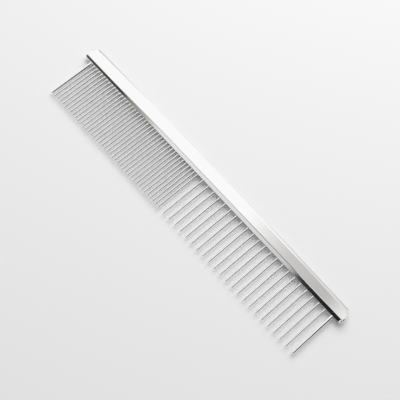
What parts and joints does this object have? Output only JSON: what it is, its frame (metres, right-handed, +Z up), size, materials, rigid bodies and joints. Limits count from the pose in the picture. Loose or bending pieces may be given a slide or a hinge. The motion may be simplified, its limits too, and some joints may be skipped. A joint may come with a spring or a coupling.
{
  "type": "grooming comb",
  "caption": "Steel pet grooming comb: a bevelled, round-backed spine holding one row of round pins, finely spaced in one half and coarsely in the other, with thicker end pins.",
  "frame": {"origin": "centre of the bounding box's base: under the middle of the comb, on the surface that it lies on", "axes": "+X along the spine from the fine half to the coarse half, -Y from the spine to the tooth tips, +Z up, square to the broad faces"},
  "size_m": [0.1906, 0.0358, 0.005],
  "materials": {
    "spine_chrome": "mirror-polished chrome plate",
    "pin_steel": "polished steel wire"
  },
  "bodies": {
    "root": {"spine": "spine_chrome", "fine_guard_pin": "pin_steel", "fine_pin_01": "pin_steel", "fine_pin_02": "pin_steel", "fine_pin_03": "pin_steel", "fine_pin_04": "pin_steel", "fine_pin_05": "pin_steel", "fine_pin_06": "pin_steel", "fine_pin_07": "pin_steel", "fine_pin_08": "pin_steel", "fine_pin_09": "pin_steel", "fine_pin_10": "pin_steel", "fine_pin_11": "pin_steel", "fine_pin_12": "pin_steel", "fine_pin_13": "pin_steel", "fine_pin_14": "pin_steel", "fine_pin_15": "pin_steel", "fine_pin_16": "pin_steel", "fine_pin_17": "pin_steel", "fine_pin_18": "pin_steel", "fine_pin_19": "pin_steel", "fine_pin_20": "pin_steel", "fine_pin_21": "pin_steel", "fine_pin_22": "pin_steel", "fine_pin_23": "pin_steel", "fine_pin_24": "pin_steel", "fine_pin_25": "pin_steel", "fine_pin_26": "pin_steel", "fine_pin_27": "pin_steel", "fine_pin_28": "pin_steel", "fine_pin_29": "pin_steel", "fine_pin_30": "pin_steel", "fine_pin_31": "pin_steel", "fine_pin_32": "pin_steel", "fine_pin_33": "pin_steel", "fine_pin_34": "pin_steel", "fine_pin_35": "pin_steel", "coarse_pin_01": "pin_steel", "coarse_pin_02": "pin_steel", "coarse_pin_03": "pin_steel", "coarse_pin_04": "pin_steel", "coarse_pin_05": "pin_steel", "coarse_pin_06": "pin_steel", "coarse_pin_07": "pin_steel", "coarse_pin_08": "pin_steel", "coarse_pin_09": "pin_steel", "coarse_pin_10": "pin_steel", "coarse_pin_11": "pin_steel", "coarse_pin_12": "pin_steel", "coarse_pin_13": "pin_steel", "coarse_pin_14": "pin_steel", "coarse_pin_15": "pin_steel", "coarse_pin_16": "pin_steel", "coarse_pin_17": "pin_steel", "coarse_pin_18": "pin_steel", "coarse_pin_19": "pin_steel", "coarse_pin_20": "pin_steel", "coarse_pin_21": "pin_steel", "coarse_pin_22": "pin_steel", "coarse_guard_pin": "pin_steel"}
  },
  "joints": []
}
